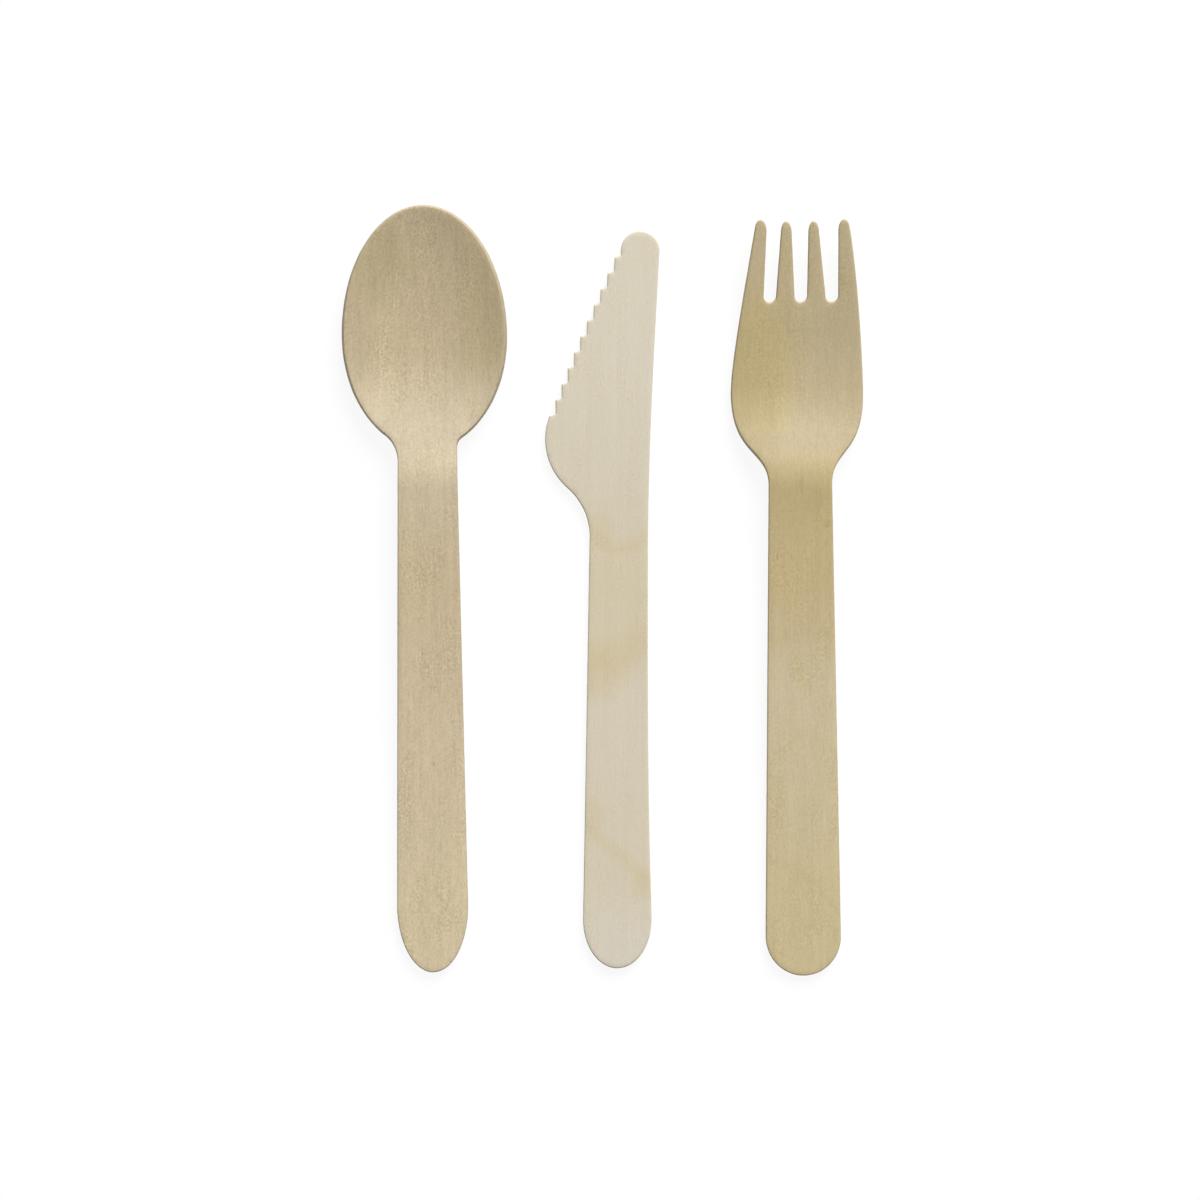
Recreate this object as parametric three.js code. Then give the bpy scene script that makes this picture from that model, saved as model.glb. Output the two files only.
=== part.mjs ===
// Wooden cutlery pack: a spoon, a knife and a fork, each die-cut from one sheet of birch veneer.
// The spoon and the fork are hot-pressed after cutting, and the knife stays flat.
// Millimetres, +Z up. The pieces lie side by side on z = 0 with their tips towards +Y.
import * as THREE from 'three';
import { mergeVertices } from 'three/addons/utils/BufferGeometryUtils.js';

// Veneer sheet and its tumbled edge
const VENEER_THICKNESS = 1.6;
const EDGE_RADIUS = 0.3;
const EDGE_STEPS = 2;

// Fineness of the faceted surface. A chord's sag is its length times its turn over the divisor
const OUTLINE_SAG = 0.03;
const SAG_DIVISOR = 8;
const TURN_PROBES = 16;
const PRESS_FACET = 2.2;
const NOSE_CAP = 0.7;
const SLOT_WEB = 1.4;
const SLOPE_PROBE = 0.01;
const WELD = 1e-4;

// Spoon outline
const SPOON_LENGTH = 160;
const SPOON_BOWL_WIDTH = 34.2;
const SPOON_BOWL_SHIFT = -0.4;
const SPOON_NOSE_LENGTH = 27.1;
const SPOON_HEEL_LENGTH = 23.7;
const SPOON_NECK_WIDTH = 12.3;
const SPOON_NECK_FILLET_LEFT = 4.5;
const SPOON_NECK_FILLET_RIGHT = 1.6;
const SPOON_HANDLE_WIDTH = 14.8;
const SPOON_END_LENGTH = 14;

// Spoon press form, each place measured back from the tip
const SPOON_BRINK_FROM_TIP = 59;
const SPOON_BRINK_EASE = 6;
const SPOON_RAMP_SLOPE = 0.29;
const SPOON_FOOT_FROM_TIP = 46.1;
const SPOON_FOOT_EASE = 15.5;
const SPOON_RISE_FROM_TIP = 30.6;
const SPOON_RISE_EASE = 30;
const SPOON_TIP_SLOPE = 0.18;
const SPOON_DISH_FROM_TIP = 56;
const SPOON_DISH_EASE = 18;
const SPOON_DISH_DEPTH = 2.7;

// Knife outline, the blade measured back from the tip and out from the handle's axis
const KNIFE_LENGTH = 154.1;
const KNIFE_TIP_RADIUS = 4.03;
const KNIFE_TIP_OFFSET = 4.2;
const KNIFE_TIP_PLAIN = 1.1;
const KNIFE_BELLY_FROM_TIP = 43.5;
const KNIFE_BELLY_OFFSET = 15.5;
const KNIFE_BELLY_RADIUS = 13.6;
const KNIFE_BELLY_PLAIN = 4.8;
const KNIFE_HEEL_RADIUS = 13.4;
const KNIFE_TOOTH_COUNT = 11;
const KNIFE_TOOTH_DEPTH = 1.3;
const KNIFE_TOOTH_SLANT = 0.4;
const KNIFE_EDGE_BULGE = 0.35;
const KNIFE_WAIST_FROM_TIP = 65.8;
const KNIFE_SPINE_EASE = 21;
const KNIFE_NECK_WIDTH = 12.2;
const KNIFE_HANDLE_WIDTH = 14.3;
const KNIFE_HANDLE_FLARE = 8;
const KNIFE_END_LENGTH = 10.2;

// Fork outline, the head measured back from the tips
const FORK_LENGTH = 157.7;
const FORK_TINE_COUNT = 4;
const FORK_TINE_LENGTH = 17.1;
const FORK_TIP_LENGTH = 2.3;
const FORK_INNER_TINE_WIDTH = 2.2;
const FORK_INNER_TINE_PITCH = 5.72;
const FORK_INNER_TINE_SHIFT = 0.31;
const FORK_INNER_TINE_SETBACK = 0.35;
const FORK_OUTER_TINE_WIDTH = 2.4;
const FORK_OUTER_TINE_SPREAD = 17.4;
const FORK_OUTER_TINE_SHIFT = 0.8;
const FORK_OUTER_TIP_SLANT = 18;
const FORK_SLOT_PITCH = 6.47;
const FORK_SLOT_SHIFT = 0.45;
const FORK_SLOT_RADIUS = 1.33;
const FORK_HEAD_WIDTH = 27.6;
const FORK_HEAD_SHIFT = -0.42;
const FORK_HEAD_FROM_TIP = 36;
const FORK_HEAD_EASE = 6.3;
const FORK_TINE_EASE = 10;
const FORK_SHOULDER_EASE = 13;
const FORK_NECK_FROM_TIP = 55.2;
const FORK_NECK_EASE = 7.5;
const FORK_NECK_WIDTH = 13.2;
const FORK_HANDLE_WIDTH = 15.7;
const FORK_END_LENGTH = 8.2;

// Fork press form, each place measured back from the tips
const FORK_BRINK_FROM_TIP = 55.9;
const FORK_BRINK_EASE = 6.3;
const FORK_RAMP_SLOPE = 0.27;
const FORK_FOOT_FROM_TIP = 43.6;
const FORK_FOOT_EASE = 9;
const FORK_RISE_FROM_TIP = 34.4;
const FORK_RISE_EASE = 11.5;
const FORK_TIP_SLOPE = 0.1;
const FORK_DISH_FROM_TIP = 52;
const FORK_DISH_EASE = 16;
const FORK_DISH_DEPTH = 0.6;

// Layout of the set: clear gaps, how far each handle's end lies from the spoon's, and leans in degrees
const SPOON_KNIFE_GAP = 7.9;
const KNIFE_FORK_GAP = 14.9;
const KNIFE_END_ADVANCE = 0.8;
const FORK_END_ADVANCE = -0.7;
const SPOON_LEAN = 0.6;
const KNIFE_LEAN = -0.24;
const FORK_LEAN = 0.45;

// Wood tones of the three sheets
const SPOON_COLOUR = 0xc6b597;
const KNIFE_COLOUR = 0xd5ccb8;
const FORK_COLOUR = 0xc6b792;
const WOOD_ROUGHNESS = 0.65;

const at = (x, y) => new THREE.Vector2(x, y);
const line = (from, to) => new THREE.LineCurve(from, to);
const arc = (centre, radius, from, to, clockwise = false) =>
  new THREE.EllipseCurve(centre.x, centre.y, radius, radius, from, to, clockwise);

// The rounded end of a handle, from its left side round to its right
function handleEnd(width, length) {
  return new THREE.EllipseCurve(0, length, width / 2, length, Math.PI, 2 * Math.PI);
}

// How far a curve turns along its length, in radians
function turning(curve) {
  let total = 0;
  for (let i = 0; i < TURN_PROBES; i++) {
    const before = curve.getTangent(i / TURN_PROBES);
    const after = curve.getTangent((i + 1) / TURN_PROBES);
    total += Math.abs(Math.atan2(before.cross(after), before.dot(after)));
  }
  return total;
}

// Corner points of a closed chain of curves, so close that no chord leaves its curve by more than the sag
function outlinePoints(curves) {
  return curves.flatMap((curve) => {
    const steps = Math.ceil(Math.sqrt((curve.getLength() * turning(curve)) / (SAG_DIVISOR * OUTLINE_SAG)));
    return curve.getSpacedPoints(Math.max(steps, 1)).slice(0, -1);
  });
}

// Heights of the rows that divide the part of a sheet that is pressed
function pressRows(from, to) {
  const count = Math.ceil((to - from) / PRESS_FACET);
  return Array.from({ length: count + 1 }, (_, i) => from + ((to - from) * i) / count);
}

// The outline with a point added wherever a row crosses it
function withCrossings(outline, rows) {
  return outline.flatMap((point, i) => {
    const next = outline[(i + 1) % outline.length];
    const low = Math.min(point.y, next.y);
    const high = Math.max(point.y, next.y);
    const crossed = rows.filter((row) => row > low && row < high);
    if (next.y < point.y) crossed.reverse();
    const share = (row) => (row - point.y) / (next.y - point.y);
    return [point, ...crossed.map((row) => at(THREE.MathUtils.lerp(point.x, next.x, share(row)), row))];
  });
}

// Triangles of the strip between two chains of points that run the same way.
// Each step takes the shorter diagonal.
function stripTriangles(lower, upper) {
  const triangles = [];
  let i = 0;
  let j = 0;
  while (i < lower.length - 1 || j < upper.length - 1) {
    const onLower = i < lower.length - 1 ? lower[i + 1].distanceTo(upper[j]) : Infinity;
    const onUpper = j < upper.length - 1 ? lower[i].distanceTo(upper[j + 1]) : Infinity;
    if (onLower < onUpper) triangles.push([lower[i], lower[++i], upper[j]]);
    else triangles.push([lower[i], upper[j + 1], upper[j++]]);
  }
  return triangles;
}

// Triangles of a plain region of the face
function regionTriangles(region) {
  return THREE.ShapeUtils.triangulateShape(region, []).map((triangle) => triangle.map((i) => region[i]));
}

// Triangles of a sheet's whole face: the flat handle, the strips between rows and what lies past the last row
function faceTriangles(outline, rows) {
  const triangles = [];
  let rest = outline;
  let lower = null;
  for (const row of rows) {
    const right = rest.findIndex((point) => point.y === row);
    const left = rest.findLastIndex((point) => point.y === row);
    const count = Math.ceil(rest[left].distanceTo(rest[right]) / PRESS_FACET);
    const along = (i) => rest[left].clone().lerp(rest[right], i / count);
    const inner = Array.from({ length: count - 1 }, (_, i) => along(i + 1));
    const upper = [rest[left], ...inner, rest[right]];
    if (lower) {
      const leftSide = rest.slice(left + 1).reverse();
      const rightSide = rest.slice(0, right).reverse();
      triangles.push(...stripTriangles(lower, [...leftSide, ...upper, ...rightSide]));
    } else {
      const handle = [...rest.slice(0, right), ...upper.toReversed(), ...rest.slice(left + 1)];
      triangles.push(...regionTriangles(handle));
    }
    lower = upper;
    rest = rest.slice(right + 1, left);
  }
  return [...triangles, ...regionTriangles(lower ? [...lower, ...rest] : rest)];
}

// Inset and height of each level of the rounded cut edge, from the lower face to the upper
function edgeLevels() {
  const lower = Array.from({ length: EDGE_STEPS + 1 }, (_, i) => {
    const angle = (i / EDGE_STEPS) * (Math.PI / 2);
    const height = EDGE_RADIUS * (1 - Math.cos(angle)) - VENEER_THICKNESS / 2;
    return { inset: EDGE_RADIUS * (1 - Math.sin(angle)), height };
  });
  return [...lower, ...lower.toReversed().map(({ inset, height }) => ({ inset, height: -height }))];
}

// The move that takes an outline point inwards by one unit, square to the edges on both sides of it
function inwardStep(outline, i) {
  const inwardOf = (from, to) => at(from.y - to.y, to.x - from.x).normalize();
  const before = inwardOf(outline.at(i - 1), outline[i]);
  const after = inwardOf(outline[i], outline[(i + 1) % outline.length]);
  const lengthening = 1 + before.dot(after);
  return before.add(after).divideScalar(lengthening);
}

// A flat sheet cut to an outline, its cut edge rounded, its middle plane on z = 0
function cutBlank(curves, rows = []) {
  const outline = withCrossings(outlinePoints(curves), rows);
  const inward = new Map(outline.map((point, i) => [point, inwardStep(outline, i)]));
  const levels = edgeLevels();
  const corners = [];
  const addCorner = (point, level) => {
    const moved = inward.has(point) ? point.clone().addScaledVector(inward.get(point), level.inset) : point;
    corners.push(moved.x, moved.y, level.height);
  };
  for (const triangle of faceTriangles(outline, rows)) {
    triangle.forEach((point) => addCorner(point, levels.at(-1)));
    triangle.toReversed().forEach((point) => addCorner(point, levels[0]));
  }
  outline.forEach((point, i) => {
    const next = outline[(i + 1) % outline.length];
    for (let k = 1; k < levels.length; k++) {
      const [low, high] = [levels[k - 1], levels[k]];
      [[point, low], [next, low], [next, high]].forEach((corner) => addCorner(...corner));
      [[point, low], [next, high], [point, high]].forEach((corner) => addCorner(...corner));
    }
  });
  const blank = new THREE.BufferGeometry();
  blank.setAttribute('position', new THREE.Float32BufferAttribute(corners, 3));
  return mergeVertices(blank, WELD);
}

// Height along a slope of one in one that eases in from level, a distance past where it starts
function bend(past, ease) {
  const eased = THREE.MathUtils.clamp(past, 0, ease);
  return (eased * eased) / (2 * ease) + Math.max(past - ease, 0);
}

// Height of a pressed sheet's middle plane: a ramp from brink to foot, a rise to the tip and a dish across
function pressedHeight(form, x, y) {
  const fromTip = form.length - y;
  const brink = bend(form.brinkFromTip - fromTip, form.brinkEase);
  const foot = bend(form.footFromTip - fromTip, form.footEase);
  const rise = bend(form.riseFromTip - fromTip, form.riseEase);
  const dish = THREE.MathUtils.smoothstep(form.dishFromTip - fromTip, 0, form.dishEase);
  const across = (x - form.axis) / (form.dishWidth / 2);
  return form.rampSlope * (foot - brink) + form.tipSlope * rise + form.dishDepth * dish * across ** 2;
}

// Presses a flat blank into its form, with the sheet's thickness kept square to the surface
function pressBlank(blank, form) {
  const position = blank.getAttribute('position');
  const point = new THREE.Vector3();
  const normal = new THREE.Vector3();
  const height = (x, y) => pressedHeight(form, x, y);
  for (let i = 0; i < position.count; i++) {
    const { x, y, z } = point.fromBufferAttribute(position, i);
    const alongX = (height(x + SLOPE_PROBE, y) - height(x - SLOPE_PROBE, y)) / (2 * SLOPE_PROBE);
    const alongY = (height(x, y + SLOPE_PROBE) - height(x, y - SLOPE_PROBE)) / (2 * SLOPE_PROBE);
    normal.set(-alongX, -alongY, 1).normalize();
    point.set(x, y, height(x, y)).addScaledVector(normal, z);
    position.setXYZ(i, point.x, point.y, point.z);
  }
  return blank;
}

// Tilt at which a piece rests on the end of its handle and the lowest part of its head
function restingTilt(geometry) {
  const position = geometry.getAttribute('position');
  const end = new THREE.Vector3(0, Infinity, -VENEER_THICKNESS / 2);
  const point = new THREE.Vector3();
  for (let i = 0; i < position.count; i++) {
    point.fromBufferAttribute(position, i);
    if (point.z <= end.z + WELD) end.y = Math.min(end.y, point.y);
  }
  let tilt = 0;
  for (let i = 0; i < position.count; i++) {
    point.fromBufferAttribute(position, i);
    if (point.y > end.y) tilt = Math.max(tilt, Math.atan2(end.z - point.z, point.y - end.y));
  }
  return tilt;
}

// One named piece of the set, lying at rest with its handle's end at the group's origin
function layPiece(name, geometry, colour, lean) {
  geometry.computeVertexNormals();
  const material = new THREE.MeshStandardMaterial({ color: colour, roughness: WOOD_ROUGHNESS, metalness: 0 });
  const mesh = new THREE.Mesh(geometry, material);
  mesh.name = name;
  mesh.rotation.x = restingTilt(geometry);
  const group = new THREE.Group();
  group.add(mesh);
  group.rotation.z = THREE.MathUtils.degToRad(lean);
  mesh.position.z = -new THREE.Box3().setFromObject(group, true).min.z;
  return group;
}

// Spoon: an oval bowl of two half ellipses on a straight, flaring handle
function spoonOutline() {
  const neck = SPOON_NECK_WIDTH / 2;
  const bowl = SPOON_BOWL_WIDTH / 2;
  const widest = SPOON_LENGTH - SPOON_NOSE_LENGTH;
  const oval = (length, from, to) => new THREE.EllipseCurve(SPOON_BOWL_SHIFT, widest, bowl, length, from, to);
  const heelAngle = (x) => Math.acos(Math.abs(x - SPOON_BOWL_SHIFT) / bowl);
  const corner = (x) => at(x, widest - SPOON_HEEL_LENGTH * Math.sin(heelAngle(x)));
  const filletEnd = (x, fillet) => heelAngle(x + Math.sign(x) * fillet * Math.SQRT1_2);
  const right = oval(SPOON_HEEL_LENGTH, -filletEnd(neck, SPOON_NECK_FILLET_RIGHT), 0);
  const left = oval(SPOON_HEEL_LENGTH, Math.PI, Math.PI + filletEnd(-neck, SPOON_NECK_FILLET_LEFT));
  const end = handleEnd(SPOON_HANDLE_WIDTH, SPOON_END_LENGTH);
  const neckRight = at(neck, corner(neck).y - SPOON_NECK_FILLET_RIGHT);
  const neckLeft = at(-neck, corner(-neck).y - SPOON_NECK_FILLET_LEFT);
  return [
    end,
    line(end.getPoint(1), neckRight),
    new THREE.QuadraticBezierCurve(neckRight, corner(neck), right.getPoint(0)),
    right,
    oval(SPOON_NOSE_LENGTH, 0, Math.PI),
    left,
    new THREE.QuadraticBezierCurve(left.getPoint(1), corner(-neck), neckLeft),
    line(neckLeft, end.getPoint(0)),
  ];
}

// Saw teeth of the knife, from the tip to the belly, on a line that bulges a little.
// Each tooth steps out to a point, and its edge then runs on nearly straight.
function toothLines(from, first, last) {
  const corners = [from];
  for (let i = 0; i < KNIFE_TOOTH_COUNT; i++) {
    const share = i / (KNIFE_TOOTH_COUNT - 1);
    const point = first.clone().lerp(last, share);
    point.x -= KNIFE_EDGE_BULGE * Math.sin(Math.PI * share);
    corners.push(at(point.x + KNIFE_TOOTH_DEPTH, point.y + KNIFE_TOOTH_SLANT), point);
  }
  return corners.slice(1).map((corner, i) => line(corners[i], corner));
}

// Knife: a round tip, a saw edge down to a round belly, a hollow heel and a flaring handle
function knifeOutline() {
  const neck = KNIFE_NECK_WIDTH / 2;
  const waist = KNIFE_LENGTH - KNIFE_WAIST_FROM_TIP;
  const tipCentre = at(KNIFE_TIP_OFFSET, KNIFE_LENGTH - KNIFE_TIP_RADIUS);
  const bellyCentre = at(KNIFE_BELLY_RADIUS - KNIFE_BELLY_OFFSET, KNIFE_LENGTH - KNIFE_BELLY_FROM_TIP);
  const heelX = -neck - KNIFE_HEEL_RADIUS;
  const reach = KNIFE_BELLY_RADIUS + KNIFE_HEEL_RADIUS;
  const heelAngle = Math.acos((bellyCentre.x - heelX) / reach);
  const heelCentre = at(heelX, bellyCentre.y - reach * Math.sin(heelAngle));
  const plainAngle = Math.asin(KNIFE_BELLY_PLAIN / KNIFE_BELLY_RADIUS);
  const tip = arc(tipCentre, KNIFE_TIP_RADIUS, 0, Math.PI);
  const belly = arc(bellyCentre, KNIFE_BELLY_RADIUS, Math.PI - plainAngle, Math.PI + heelAngle);
  const heel = arc(heelCentre, KNIFE_HEEL_RADIUS, heelAngle, 0, true);
  const end = handleEnd(KNIFE_HANDLE_WIDTH, KNIFE_END_LENGTH);
  const endRight = end.getPoint(1);
  const tipRight = tip.getPoint(0);
  const tipLeft = tip.getPoint(1);
  const firstTooth = at(tipLeft.x - KNIFE_TOOTH_DEPTH, tipLeft.y - KNIFE_TIP_PLAIN - KNIFE_TOOTH_SLANT);
  const spine = new THREE.CubicBezierCurve(
    at(neck, waist),
    at(neck, waist + KNIFE_SPINE_EASE),
    at((neck + tipRight.x) / 2, tipRight.y - KNIFE_SPINE_EASE),
    tipRight,
  );
  const flare = new THREE.CubicBezierCurve(
    endRight,
    at(endRight.x, endRight.y + KNIFE_HANDLE_FLARE),
    at(neck, endRight.y + 2 * KNIFE_HANDLE_FLARE),
    at(neck, waist),
  );
  return [
    end,
    flare,
    spine,
    tip,
    ...toothLines(tipLeft, firstTooth, belly.getPoint(0)),
    belly,
    heel,
    line(heel.getPoint(1), end.getPoint(0)),
  ];
}

// Tip of one tine, counted from the left. The flank of the head leaves an outer tip before its widest line
function tineTip(index) {
  const last = FORK_TINE_COUNT - 1;
  const fromMiddle = index - last / 2;
  const slant = THREE.MathUtils.degToRad(FORK_OUTER_TIP_SLANT);
  if (index > 0 && index < last) {
    const x = FORK_INNER_TINE_SHIFT + fromMiddle * FORK_INNER_TINE_PITCH;
    const y = FORK_LENGTH - FORK_INNER_TINE_SETBACK - FORK_TIP_LENGTH;
    return new THREE.EllipseCurve(x, y, FORK_INNER_TINE_WIDTH / 2, FORK_TIP_LENGTH, 0, Math.PI);
  }
  const x = FORK_OUTER_TINE_SHIFT + (Math.sign(fromMiddle) * FORK_OUTER_TINE_SPREAD) / 2;
  const y = FORK_LENGTH - FORK_TIP_LENGTH;
  const from = index === last ? slant : 0;
  const to = index === last ? Math.PI : Math.PI - slant;
  return new THREE.EllipseCurve(x, y, FORK_OUTER_TINE_WIDTH / 2, FORK_TIP_LENGTH, from, to);
}

// Tines and slots of the fork, from the right outer tine to the left one
function tineCurves() {
  const slotY = FORK_LENGTH - FORK_TINE_LENGTH + FORK_SLOT_RADIUS;
  const curves = [];
  for (let i = FORK_TINE_COUNT - 1; i >= 0; i--) {
    const tine = tineTip(i);
    if (curves.length) curves.push(line(curves.at(-1).getPoint(1), tine.getPoint(0)));
    curves.push(tine);
    if (i === 0) break;
    const slotX = FORK_SLOT_SHIFT + (i - FORK_TINE_COUNT / 2) * FORK_SLOT_PITCH;
    const slot = arc(at(slotX, slotY), FORK_SLOT_RADIUS, 0, Math.PI, true);
    curves.push(line(tine.getPoint(1), slot.getPoint(0)), slot);
  }
  return curves;
}

// One side of the fork's head, from the neck out over the shoulder and up to the outer tine's tip
function headSide(side, tip) {
  const tipEdge = tip.getPoint(side > 0 ? 0 : 1);
  const tipwards = tip.getTangent(side > 0 ? 0 : 1).multiplyScalar(side);
  const neck = at((side * FORK_NECK_WIDTH) / 2, FORK_LENGTH - FORK_NECK_FROM_TIP);
  const widest = at(FORK_HEAD_SHIFT + (side * FORK_HEAD_WIDTH) / 2, FORK_LENGTH - FORK_HEAD_FROM_TIP);
  const aboveNeck = at(neck.x, neck.y + FORK_NECK_EASE);
  const belowWidest = at(widest.x, widest.y - FORK_SHOULDER_EASE);
  const aboveWidest = at(widest.x, widest.y + FORK_HEAD_EASE);
  const shoulder = [neck, aboveNeck, belowWidest, widest];
  const belowTip = tipEdge.clone().addScaledVector(tipwards, -FORK_TINE_EASE);
  const flank = [widest, aboveWidest, belowTip, tipEdge];
  return [shoulder, flank];
}

// Fork: a straight, flaring handle, rounded shoulders and four tapering tines
function forkOutline() {
  const end = handleEnd(FORK_HANDLE_WIDTH, FORK_END_LENGTH);
  const tines = tineCurves();
  const curve = (points) => new THREE.CubicBezierCurve(...points);
  const right = headSide(1, tines[0]).map(curve);
  const left = headSide(-1, tines.at(-1)).map((points) => curve(points.reverse())).reverse();
  return [
    end,
    line(end.getPoint(1), right[0].getPoint(0)),
    ...right,
    ...tines,
    ...left,
    line(left[1].getPoint(1), end.getPoint(0)),
  ];
}

const spoonForm = {
  length: SPOON_LENGTH,
  axis: SPOON_BOWL_SHIFT,
  brinkFromTip: SPOON_BRINK_FROM_TIP,
  brinkEase: SPOON_BRINK_EASE,
  rampSlope: SPOON_RAMP_SLOPE,
  footFromTip: SPOON_FOOT_FROM_TIP,
  footEase: SPOON_FOOT_EASE,
  riseFromTip: SPOON_RISE_FROM_TIP,
  riseEase: SPOON_RISE_EASE,
  tipSlope: SPOON_TIP_SLOPE,
  dishFromTip: SPOON_DISH_FROM_TIP,
  dishEase: SPOON_DISH_EASE,
  dishDepth: SPOON_DISH_DEPTH,
  dishWidth: SPOON_BOWL_WIDTH,
};
const forkForm = {
  length: FORK_LENGTH,
  axis: FORK_HEAD_SHIFT,
  brinkFromTip: FORK_BRINK_FROM_TIP,
  brinkEase: FORK_BRINK_EASE,
  rampSlope: FORK_RAMP_SLOPE,
  footFromTip: FORK_FOOT_FROM_TIP,
  footEase: FORK_FOOT_EASE,
  riseFromTip: FORK_RISE_FROM_TIP,
  riseEase: FORK_RISE_EASE,
  tipSlope: FORK_TIP_SLOPE,
  dishFromTip: FORK_DISH_FROM_TIP,
  dishEase: FORK_DISH_EASE,
  dishDepth: FORK_DISH_DEPTH,
  dishWidth: FORK_HEAD_WIDTH,
};

// Rows run from the brink of each ramp to the spoon's tip, or to just short of the fork's slots
const spoonRows = pressRows(SPOON_LENGTH - SPOON_BRINK_FROM_TIP, SPOON_LENGTH - NOSE_CAP);
const forkRows = pressRows(FORK_LENGTH - FORK_BRINK_FROM_TIP, FORK_LENGTH - FORK_TINE_LENGTH - SLOT_WEB);

const spoonSheet = pressBlank(cutBlank(spoonOutline(), spoonRows), spoonForm);
const knifeSheet = cutBlank(knifeOutline());
const forkSheet = pressBlank(cutBlank(forkOutline(), forkRows), forkForm);
const spoon = layPiece('spoon', spoonSheet, SPOON_COLOUR, SPOON_LEAN);
const knife = layPiece('knife', knifeSheet, KNIFE_COLOUR, KNIFE_LEAN);
const fork = layPiece('fork', forkSheet, FORK_COLOUR, FORK_LEAN);

// Places a piece to the right of the one before it, at a clear gap, its handle's end ahead of the spoon's
function placeBeside(piece, neighbour, gap, advance) {
  const clear = new THREE.Box3().setFromObject(neighbour, true).max.x + gap;
  piece.position.x = clear - new THREE.Box3().setFromObject(piece, true).min.x;
  piece.position.y = advance;
}

placeBeside(knife, spoon, SPOON_KNIFE_GAP, KNIFE_END_ADVANCE);
placeBeside(fork, knife, KNIFE_FORK_GAP, FORK_END_ADVANCE);

// The set is centred over the origin
const laidOut = new THREE.Group().add(spoon, knife, fork);
const centre = new THREE.Box3().setFromObject(laidOut, true).getCenter(new THREE.Vector3());
laidOut.position.set(-centre.x, -centre.y, 0);

const cutlery = new THREE.Group();
cutlery.add(laidOut);

export default cutlery;
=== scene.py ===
"""A set of birch cutlery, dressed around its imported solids: a spoon, a knife and a fork.

Each piece is one sheet of veneer. It is cut to an outline, rounded along its cut edge and, for
the spoon and the fork, pressed into a form. Sizes are in metres, in the frame of the solids, and
a piece's own plan has its handle's end at the origin and its tip towards +Y.
"""

import logging
import math
from dataclasses import dataclass, fields
from enum import Enum
from typing import ClassVar, Iterable, Sequence, Union

import bpy
import numpy as np
from mathutils import Matrix, Vector, noise
from mathutils.geometry import delaunay_2d_cdt
from mathutils.kdtree import KDTree


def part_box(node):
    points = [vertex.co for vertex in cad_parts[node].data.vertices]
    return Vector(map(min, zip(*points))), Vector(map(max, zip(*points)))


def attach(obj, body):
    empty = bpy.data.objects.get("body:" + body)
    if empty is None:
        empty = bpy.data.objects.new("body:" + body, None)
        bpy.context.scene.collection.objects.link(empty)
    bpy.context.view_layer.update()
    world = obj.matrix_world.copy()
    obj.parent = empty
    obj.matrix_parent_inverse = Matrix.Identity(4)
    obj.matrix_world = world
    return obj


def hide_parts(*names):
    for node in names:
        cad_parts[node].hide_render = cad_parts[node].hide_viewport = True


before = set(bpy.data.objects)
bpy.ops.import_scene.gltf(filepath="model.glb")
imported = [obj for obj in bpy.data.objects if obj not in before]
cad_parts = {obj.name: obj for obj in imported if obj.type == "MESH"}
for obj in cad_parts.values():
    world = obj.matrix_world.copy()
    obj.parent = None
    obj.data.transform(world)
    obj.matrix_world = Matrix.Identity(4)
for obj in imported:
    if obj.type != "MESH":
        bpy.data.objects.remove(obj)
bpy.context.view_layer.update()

LOG = logging.getLogger("cutlery")
MM = 0.001
EDGE_ATTRIBUTE = "cut_edge"

Colour = tuple[float, float, float]
SocketColour = tuple[float, float, float, float]
Numeric = Union[float, "Wire"]


class Side(Enum):
    """The two sides of a piece, seen with its tip pointing up."""

    LEFT = -1.0
    RIGHT = 1.0


class TreeKind(Enum):
    """The two kinds of node tree that are written here."""

    SHAPE = "GeometryNodeTree"
    FINISH = "ShaderNodeTree"


# Node trees


def opaque(colour: Colour) -> SocketColour:
    """A colour in the form that a socket takes."""
    return (*colour, 1.0)


def grey(level: float) -> SocketColour:
    """An even grey in the form that a socket takes."""
    return opaque((level,) * 3)


def socket_name(field_name: str) -> str:
    """The name of the socket that takes a dataclass's field."""
    return field_name.replace("_", " ").title()


def socket_names(sizes: type) -> list[str]:
    """The names of the sockets that take a dataclass's sizes."""
    return [socket_name(item.name) for item in fields(sizes)]


def socket_values(sizes: object) -> dict[str, float]:
    """A dataclass's sizes by the names of the sockets that take them."""
    return {socket_name(item.name): getattr(sizes, item.name) for item in fields(sizes)}


class Wire:
    """One value in a node tree. Arithmetic on it adds Math nodes."""

    def __init__(self, sketch: "NodeSketch", socket: bpy.types.NodeSocket) -> None:
        """Keeps the socket and the sketch that it belongs to."""
        self.sketch = sketch
        self.socket = socket

    def __add__(self, other: Numeric) -> "Wire":
        """This value plus another."""
        return self.sketch.math("ADD", self, other)

    def __sub__(self, other: Numeric) -> "Wire":
        """This value minus another."""
        return self.sketch.math("SUBTRACT", self, other)

    def __mul__(self, other: Numeric) -> "Wire":
        """This value times another."""
        return self.sketch.math("MULTIPLY", self, other)

    def __truediv__(self, other: Numeric) -> "Wire":
        """This value over another."""
        return self.sketch.math("DIVIDE", self, other)


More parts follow.
